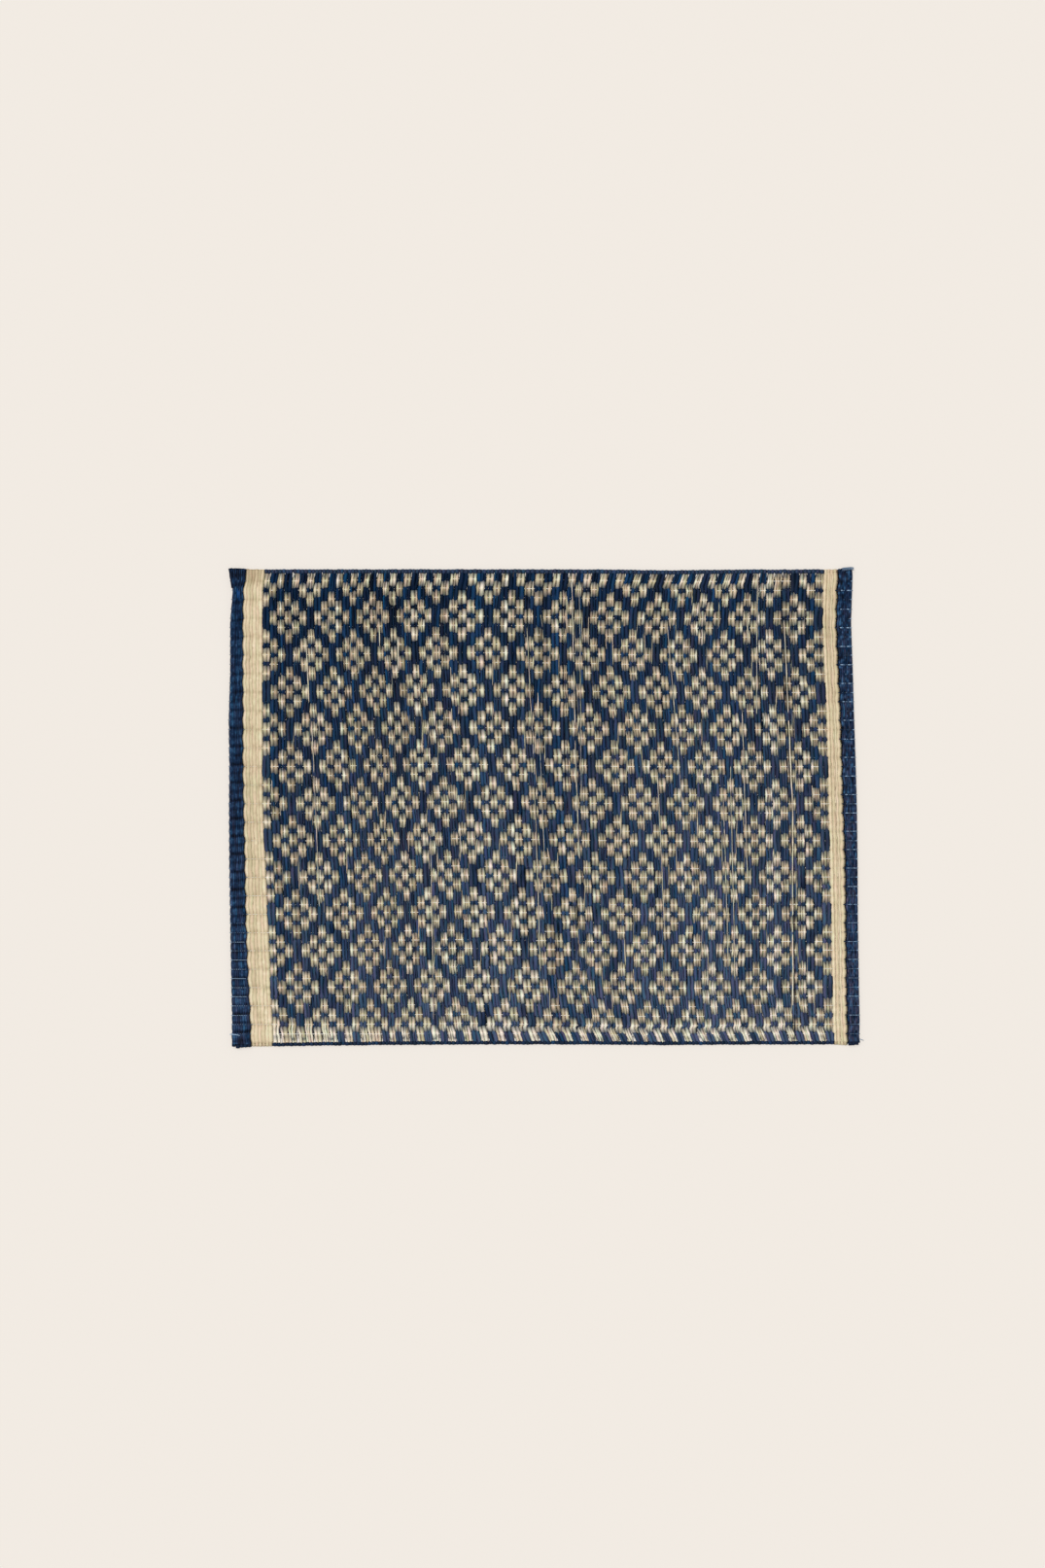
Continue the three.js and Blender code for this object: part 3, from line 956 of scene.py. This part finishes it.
def warp_threads():
    """The threads of the face, of the back and, in blue, round the hems."""
    face, back, hems = Strands(), Strands(), Strands()
    for row in range(WARP_ROWS):
        even = row % 2 == 0
        west_hem = band_thread(WEST_HEM, row, [HEM_Z - 0.3 + 0.55 * row / LAST_ROW] * 6)
        west_band = band_thread(WEST_BAND, row, [BAND_Z - (0.1 if even else 0.5)] * 6)
        east_band = band_thread(EAST_BAND, row, [BAND_Z - 0.1] * 4)
        east_hem = band_thread(EAST_HEM, row, east_hem_heights(row))
        tone = rng.normal(*THREAD_TONE)
        jitter = rng.normal(0, THREAD_JITTER)
        add_thread(face, west_band + face_thread(row) + east_band, jitter, tone)

        # On the left hem the thread rises and gets paler from row to row
        west_way = fold_thread("west", 1, row, 0) + west_hem + west_band[:1]
        add_thread(hems, west_way, jitter, 0.2 + 0.5 * row / LAST_ROW)

        # On the right hem it starts dark, and is pale again round the fold on even rows
        east_fold = fold_thread("east", -1, row, LAST_COLUMN)[::-1]
        east_way = east_band[-1:] + east_hem + east_fold
        east_tones = np.full(len(east_way), 0.4 if even else 1.0 - 0.5 * row / LAST_ROW)
        east_tones[:2] = -0.3
        east_tones[-len(east_fold) :] = 1.1 if even else 0.4
        width = THREAD_WIDTH if even else 0.75 - 0.2 * row / LAST_ROW
        add_thread(hems, east_way, jitter, east_tones + rng.normal(0, 0.12), width)
        add_thread(back, back_thread(row), 0.0, tone - 0.1)
    return face, back, hems


# Selvedges, where the reeds turn round the outermost warp

SELVEDGE_Y = {"top": 170.0, "bottom": -170.0}
TURN_COVER = {"top": 3.0, "bottom": 2.7}
# How much painted sheen greys the navy turns of the field at each edge
TURN_GREY = {"top": 0.35, "bottom": 0.15}
TURN_THICKNESS, TURN_INSET, TURN_BASE_Z = 0.6, 0.57, 0.42

# A turn's width at each point of its way, beside its full width
TURN_WIDTHS = (0.8, 0.95, 1.0, 1.0, 1.0, 0.9, 0.8)

# Height of the turns on the face, over the field, the bands and the hems
FIELD_TURN_Z, BAND_TURN_Z, HEM_TURN_Z = 2.4, 1.95, 3.15

# A hem's turns, how far they reach past it, and how far the lower left corner's is drawn in
HEM_TURNS, HEM_TURN_REACH, DRAWN_IN = 5, 0.5, 0.5


def selvedge_turn(strands, x, width, edge, top_z, tone, grey, drawn_in=0.0):
    """One reed end, wrapped over the long edge from the face to the back."""
    outward = 1 if edge == "top" else -1
    slant = rng.uniform(-0.5, 0.9)
    reach = rng.uniform(-0.22, 0.12) - TURN_INSET - drawn_in
    profile = (
        (TURN_COVER[edge], top_z - 0.25),
        (TURN_COVER[edge] - 0.8, top_z),
        (0.5, top_z - 0.12),
        (0.15, (top_z + TURN_BASE_Z) / 2),
        (0.5, TURN_BASE_Z + 0.1),
        (1.3, TURN_BASE_Z),
        (2.1, TURN_BASE_Z + 0.2),
    )
    path = []
    for share, (inset, z) in zip(np.linspace(-0.5, 0.5, len(profile)), profile):
        at = x + slant * share
        path.append((at, long_edge_y(edge, at) - outward * (inset - reach), z))
    strands.add(path, width * np.array(TURN_WIDTHS), TURN_THICKNESS, tone, grey)


def turn_selvedges():
    """The navy turns of the field and the hems, and the natural ones of the bands."""
    navy, natural = Strands(), Strands()
    for edge, row in (("top", 0), ("bottom", LAST_ROW)):
        y = SELVEDGE_Y[edge]
        for column in range(REED_COLUMNS):
            west, east = border_x(column, row, y), border_x(column + 1, row, y)
            for share in (0.25, 0.75):
                x = west + (east - west) * share
                width = (east - west) / 2 * rng.uniform(1.0, 1.2)
                top_z = FIELD_TURN_Z + rng.normal(0, 0.06)
                selvedge_turn(navy, x, width, edge, top_z, navy_tone() - 0.1, TURN_GREY[edge])
        for band in (WEST_BAND, EAST_BAND, WEST_HEM, EAST_HEM):
            low, high = band.limits(y)
            strands, top_z, tone, parts = natural, BAND_TURN_Z, 0.4, band.count
            if band in (WEST_HEM, EAST_HEM):
                strands, top_z, tone, parts = navy, HEM_TURN_Z, 0.25, HEM_TURNS
                low, high = low - HEM_TURN_REACH, high + HEM_TURN_REACH
            for index in range(parts):
                x = low + (high - low) * (index + 0.5) / parts
                width = (high - low) / parts * 1.08
                rounded = band is WEST_HEM and edge == "bottom" and index == 0
                drawn_in = DRAWN_IN if rounded else 0.0
                # Band and hem turns get a little painted shade on natural reeds, painted sheen on navy
                # ones
                selvedge_turn(strands, x, width, edge, top_z, rng.normal(tone, 0.1), 0.1, drawn_in)
    return navy, natural


# Small things that make it this mat

# The tucked end of the left hem flares out: X of its reeds at its foot and at the edge
TUCK_REEDS = ((-226.6, -228.4), (-224.8, -225.6), (-223, -222.9), (-221.2, -220.3), (-219.6, -217.9))
TUCK_FOOT_Y, TUCK_Z, TUCK_POINTS = 160.2, 3.22, 6

# Reeds of a brighter blue below it: X, and the Y of both ends
BLUE_REEDS = ((-223.3, 161, 150.5), (-221.9, 160, 149))

# Threads round the upper end of the right hem: their X, and each one's inset and tone
END_THREADS_X = np.linspace(216.6, 225.0, 8)
END_THREADS = ((0.55, 0.4), (1.1, 0.5), (1.65, 0.42), (2.2, 0.25))

# A wisp of thread at the lower right corner, and a pale end across the lower left one
WISP = ((228.2, -168.4, 1.5), (229.6, -168.2, 2.0), (231.0, -168.8, 1.9), (232.3, -169.1, 1.3))
PALE_END = ((-228.9, -164.8, 2.2), (-227.0, -164.7, 3.3), (-224.0, -165.0, 3.6), (-221.5, -165.6, 3.5))

# Stitches under the hems: from one to the next, and a stitch's points: inwards, along Y and height
STITCH_STEP = 9.2
STITCH = ((-1.6, 0.4, 0.3), (-1.2, 0.3, 0.16), (1.2, -0.3, 0.16), (1.6, -0.4, 0.3))

# Natural slivers beside the navy reeds: from X, Y to X, Y, width and painted shade, for the shade they lie
# in between the navy reeds
SLIVERS = (
    (174.2, 136, 177.6, 66, 0.7, 0.25),
    (177.6, 66, 180.5, 0, 0.85, 0.05),
    (180.5, 0, 180.7, -146, 0.85, 0.0),
    (-12.7, 131.6, -7, 20, 0.55, 0.4),
    (-7, 10, -2.8, -120.3, 0.55, 0.35),
    (19.8, 168, 22.3, 60, 0.6, 0.3),
    (22.3, 50, 25.5, -38.9, 0.6, 0.35),
    (-173.4, 121.7, -171, 74, 0.6, 0.15),
    (-169, 60, -163.5, -73.6, 0.55, 0.45),
    (135.2, 31.8, 138.7, -126, 0.5, 0.4),
    (143.7, 71.5, 147.9, -54.5, 0.5, 0.35),
    (130.2, 7.8, 133.8, -116, 0.5, 0.4),
    (82.1, 26.9, 87.8, -97, 0.55, 0.35),
    (155, 168, 154.3, 66.5, 0.6, 0.3),
    (89.2, 135.9, 100.5, 0, 0.5, 0.45),
    (-5, 87, -4, 64.4, 0.7, 0.1),
    (-4, 60, 1.4, -68.6, 0.45, 0.45),
    (25.5, 165.6, 26.9, 4.2, 0.45, 0.5),
    (-82.8, -19, -80.7, -157.8, 0.5, 0.4),
    (147.6, 141.5, 148, 120.3, 0.7, 0.1),
    (-120.3, 135.2, -119.6, 117.5, 0.7, 0.1),
    (-106.9, 124.6, -106, 99.8, 0.7, 0.1),
)

# Near-black strands on the weave between two columns, which stand for the deep shade in the gaps there:
# from X, Y to X, Y, and width
DARK_LINES = (
    (171.4, 169, 176.6, 66, 0.6),
    (176.6, 66, 179.3, 0, 0.7),
    (179.3, 0, 182.4, -168, 0.7),
    (-148, 168, -136.6, -90, 0.5),
    (26.9, 168, 35.4, -82, 0.5),
    (156.4, 168, 158.5, 4, 0.55),
    (-13.8, 168, -4.2, -41, 0.45),
    (12.7, 168, 15.6, -20, 0.45),
)

# How many more lie at random places between the columns, and how long in rows
RANDOM_SLIVERS, RANDOM_DARK_LINES, RANDOM_ROWS = 240, 120, (1.3, 4.0)

# Height of the placed ones, and how long their points are and how far they sink
SLIVER_Z, DARK_LINE_Z = 2.48, 2.44
POINT_LENGTH, POINT_DROP = 3.0, 0.5


def tuck_corner(strands):
    for foot_x, edge_x in TUCK_REEDS:
        top = long_edge_y("top", edge_x) - 0.6
        y = np.linspace(top, TUCK_FOOT_Y + rng.uniform(-0.5, 0.5), TUCK_POINTS)
        share = np.linspace(0, 1, TUCK_POINTS)
        x = edge_x + (foot_x - edge_x) * share**0.8
        path = np.stack([x, y, TUCK_Z - 0.25 * share**3], -1)
        # Its shade is a little painted sheen
        strands.add(path, 2.9 - 0.8 * share, 0.8, rng.normal(0.1, 0.05), shade=0.04)


def add_sliver(strands, start, end, z, width, tone, shade):
    """A thin reed on top of the weave, pointed and sunk at both ends."""
    count = max(5, int(abs(end[1] - start[1]) / 4))
    x, y = np.linspace(start[0], end[0], count), np.linspace(start[1], end[1], count)
    body = np.clip(np.minimum(y[0] - y, y - y[-1]) / POINT_LENGTH, 0, 1)
    height = z - POINT_DROP * (1 - body) + rng.normal(0, 0.06, count)
    sizes = width * (0.4 + 0.6 * body) * (1 + rng.normal(0, 0.2, count))
    # Painted shade, uneven along the sliver
    shades = np.clip(shade + rng.normal(0, 0.14, count), 0, 0.95)
    path = np.stack([x + slow_wave(y, 0.15), y, height], -1)
    strands.add(path, sizes, 0.4, tone, shades)


def blue_reeds():
    strands = Strands()
    for x, y_from, y_to in BLUE_REEDS:
        add_sliver(strands, (x, y_from), (x + 0.2, y_to), HEM_Z + 0.62, 1.5, 0.7, 0.0)
    return strands


def random_place(spread):
    """The two ends of a sliver somewhere between two columns."""
    border = int(rng.integers(1, REED_COLUMNS))
    first_row = rng.uniform(0.5, LAST_ROW - 4.5)
    rows = np.array([first_row, first_row + rng.uniform(*RANDOM_ROWS)])
    y = row_y(border - 0.5, rows)
    x = border_x(border, rows.mean(), y.mean()) + rng.normal(0, spread)
    lean = rng.normal(0, 0.3)
    return (x - lean, y[0]), (x + lean, y[1])


def stray_slivers():
    strands = Strands()
    for x_from, y_from, x_to, y_to, width, shade in SLIVERS:
        add_sliver(strands, (x_from, y_from), (x_to, y_to), SLIVER_Z, width, 0.8, shade)
    for _ in range(RANDOM_SLIVERS):
        start, end = random_place(0.5)
        # Random width, and painted shade
        width, shade = rng.uniform(0.35, 0.75), rng.uniform(0.25, 0.9)
        add_sliver(strands, start, end, rng.uniform(2.4, 2.52), width, 0.6, shade)
    return strands


# Painted shadow: near-black strands where the gaps between columns lie in deep shade
def dark_lines(strands):
    for x_from, y_from, x_to, y_to, width in DARK_LINES:
        add_sliver(strands, (x_from, y_from), (x_to, y_to), DARK_LINE_Z, width, -0.2, 0.0)
    for _ in range(RANDOM_DARK_LINES):
        start, end = random_place(0.9)
        add_sliver(strands, start, end, 2.4, rng.uniform(0.35, 0.6), -0.2, 0.0)


def hem_stitches():
    strands = Strands()
    for line, side in (("hem_west", -1), ("hem_east", 1)):
        for y in np.arange(SELVEDGE_Y["top"], SELVEDGE_Y["bottom"], -STITCH_STEP):
            x = section_x(line, y)
            path = [(x - side * inwards, y + along, z) for inwards, along, z in STITCH]
            strands.add(path, 0.35, 0.3, tone=0.2, side=NORTH)
    return strands


def hem_end_threads(strands):
    for inset, tone in END_THREADS:
        x, count = END_THREADS_X, len(END_THREADS_X)
        y = long_edge_y("top", x) - inset + rng.normal(0, 0.1, count)
        z = 3.3 - 0.25 * (inset < 1.0) + rng.normal(0, 0.06, count)
        add_thread(strands, np.stack([x, y, z], -1), 0.0, tone)


def loose_threads():
    strands = Strands()
    strands.add(WISP, 0.5, 0.35, tone=0.6, side=NORTH)
    strands.add(PALE_END, 0.55, 0.35, tone=1.1, side=NORTH)
    return strands


natural_field, navy_west, navy_east = weave_field()
natural_bands, west_hem, east_hem = weave_bands()
face_threads, back_threads, hem_threads = warp_threads()
navy_turns, natural_turns = turn_selvedges()
tuck_corner(west_hem)
dark_lines(navy_west)
hem_end_threads(hem_threads)

natural_reeds = add_piece("natural_reeds", natural_field, NATURAL, "natural_reed")
others = [
    add_piece(*piece)
    for piece in (
        ("navy_reeds_west", navy_west, NAVY, "navy_reed"),
        ("navy_reeds_east", navy_east, NAVY, "navy_reed"),
        ("warp_threads", face_threads, THREAD, "cotton_thread"),
        ("warp_threads_back", back_threads, THREAD, "cotton_thread"),
        ("hem_threads", hem_threads, BLUE_THREAD, "cotton_thread"),
        ("natural_bands", natural_bands, BAND, "natural_reed"),
        ("navy_hem_west", west_hem, HEM, "navy_reed"),
        ("navy_hem_east", east_hem, HEM, "navy_reed"),
        ("blue_reeds", blue_reeds(), BRIGHT, "navy_reed"),
        ("selvedge_turns", navy_turns, NAVY, "navy_reed"),
        ("band_end_turns", natural_turns, NATURAL, "natural_reed"),
        ("hem_stitches", hem_stitches(), BLUE_THREAD, "cotton_thread"),
        ("stray_slivers", stray_slivers(), NATURAL, "natural_reed"),
        ("loose_threads", loose_threads(), BLUE_THREAD, "cotton_thread"),
    )
]


# Table, light and camera

# The photo's size and the mat's place in it, in pixels, and the camera, in metres
PHOTO_WIDTH, PHOTO_HEIGHT = 1075, 1613
MAT_CENTRE_X, MAT_CENTRE_Y = 560.0, 831.0
MM_PER_PIXEL = 0.7077
CAMERA_HEIGHT = 2.5
SENSOR_MM = 36.0

# How far the table reaches in metres, and the part under the mat that stays dark, a painted shadow for the
# gaps between the reeds
TABLE_X = (-30.0, -0.222, 0.222, 30.0)
TABLE_Y = (-30.0, -0.168, 0.168, 30.0)

# The table's colour in full light, and the colour of its glow
TABLE_COLOUR, GLOW_COLOUR = (1.0, 0.937, 0.866), (0.8, 0.75, 0.693)

WORLD_STRENGTH, SUN_STRENGTH = 0.7, 1.55
SUN_ANGLE, SUN_AZIMUTH, SUN_ELEVATION = map(math.radians, (25, 125, 60))


def table_material(name, brightness, glow):
    return Look(name).surface(
        {
            "Base Color": opaque(brightness * level for level in TABLE_COLOUR),
            "Emission Color": opaque(GLOW_COLOUR),
            "Emission Strength": glow,
            "Roughness": 1.0,
            "Specular IOR Level": 0.0,
        }
    )


def add_table():
    """A pale table that glows, so that hardly any shadow shows round the mat, except under it: a painted
    shadow that keeps the gaps between reeds dark.
    """
    corners = [(x, y, 0) for y in TABLE_Y for x in TABLE_X]
    firsts = [4 * j + i for j in range(3) for i in range(3)]
    faces = [(first, first + 1, first + 5, first + 4) for first in firsts]
    mesh = bpy.data.meshes.new("table")
    mesh.from_pydata(corners, [], faces)
    mesh.materials.append(table_material("pale_table", brightness=0.24, glow=0.77))
    # The middle face under the mat is painted shadow: it doesn't glow
    mesh.materials.append(table_material("shaded_table", brightness=0.7, glow=0.0))
    mesh.polygons[len(faces) // 2].material_index = 1
    add_object("table", mesh)


def add_sun():
    """A far soft lamp. Azimuth 0 stands at +X."""
    light = bpy.data.lights.new("key_sun", "SUN")
    light.energy, light.angle = SUN_STRENGTH, SUN_ANGLE
    add_object("key_sun", light).rotation_euler = (0, math.pi / 2 - SUN_ELEVATION, SUN_AZIMUTH)


def add_world():
    world = bpy.data.worlds.new("soft_studio")
    world.use_nodes = True
    background = world.node_tree.nodes["Background"]
    background.inputs["Color"].default_value = (1, 1, 1, 1)
    background.inputs["Strength"].default_value = WORLD_STRENGTH
    bpy.context.scene.world = world


def add_camera():
    """Straight above, framed as the photograph is."""
    camera = bpy.data.cameras.new("camera")
    camera.sensor_width = SENSOR_MM
    camera.lens = SENSOR_MM * CAMERA_HEIGHT / (PHOTO_HEIGHT * MM_PER_PIXEL * MM)
    eye = add_object("camera", camera)
    across = PHOTO_WIDTH / 2 - MAT_CENTRE_X
    up = MAT_CENTRE_Y - PHOTO_HEIGHT / 2
    eye.location = (across * MM_PER_PIXEL * MM, up * MM_PER_PIXEL * MM, CAMERA_HEIGHT)
    bpy.context.scene.camera = eye


add_table()
add_world()
add_sun()
add_camera()
bpy.context.scene.view_settings.view_transform = "Standard"
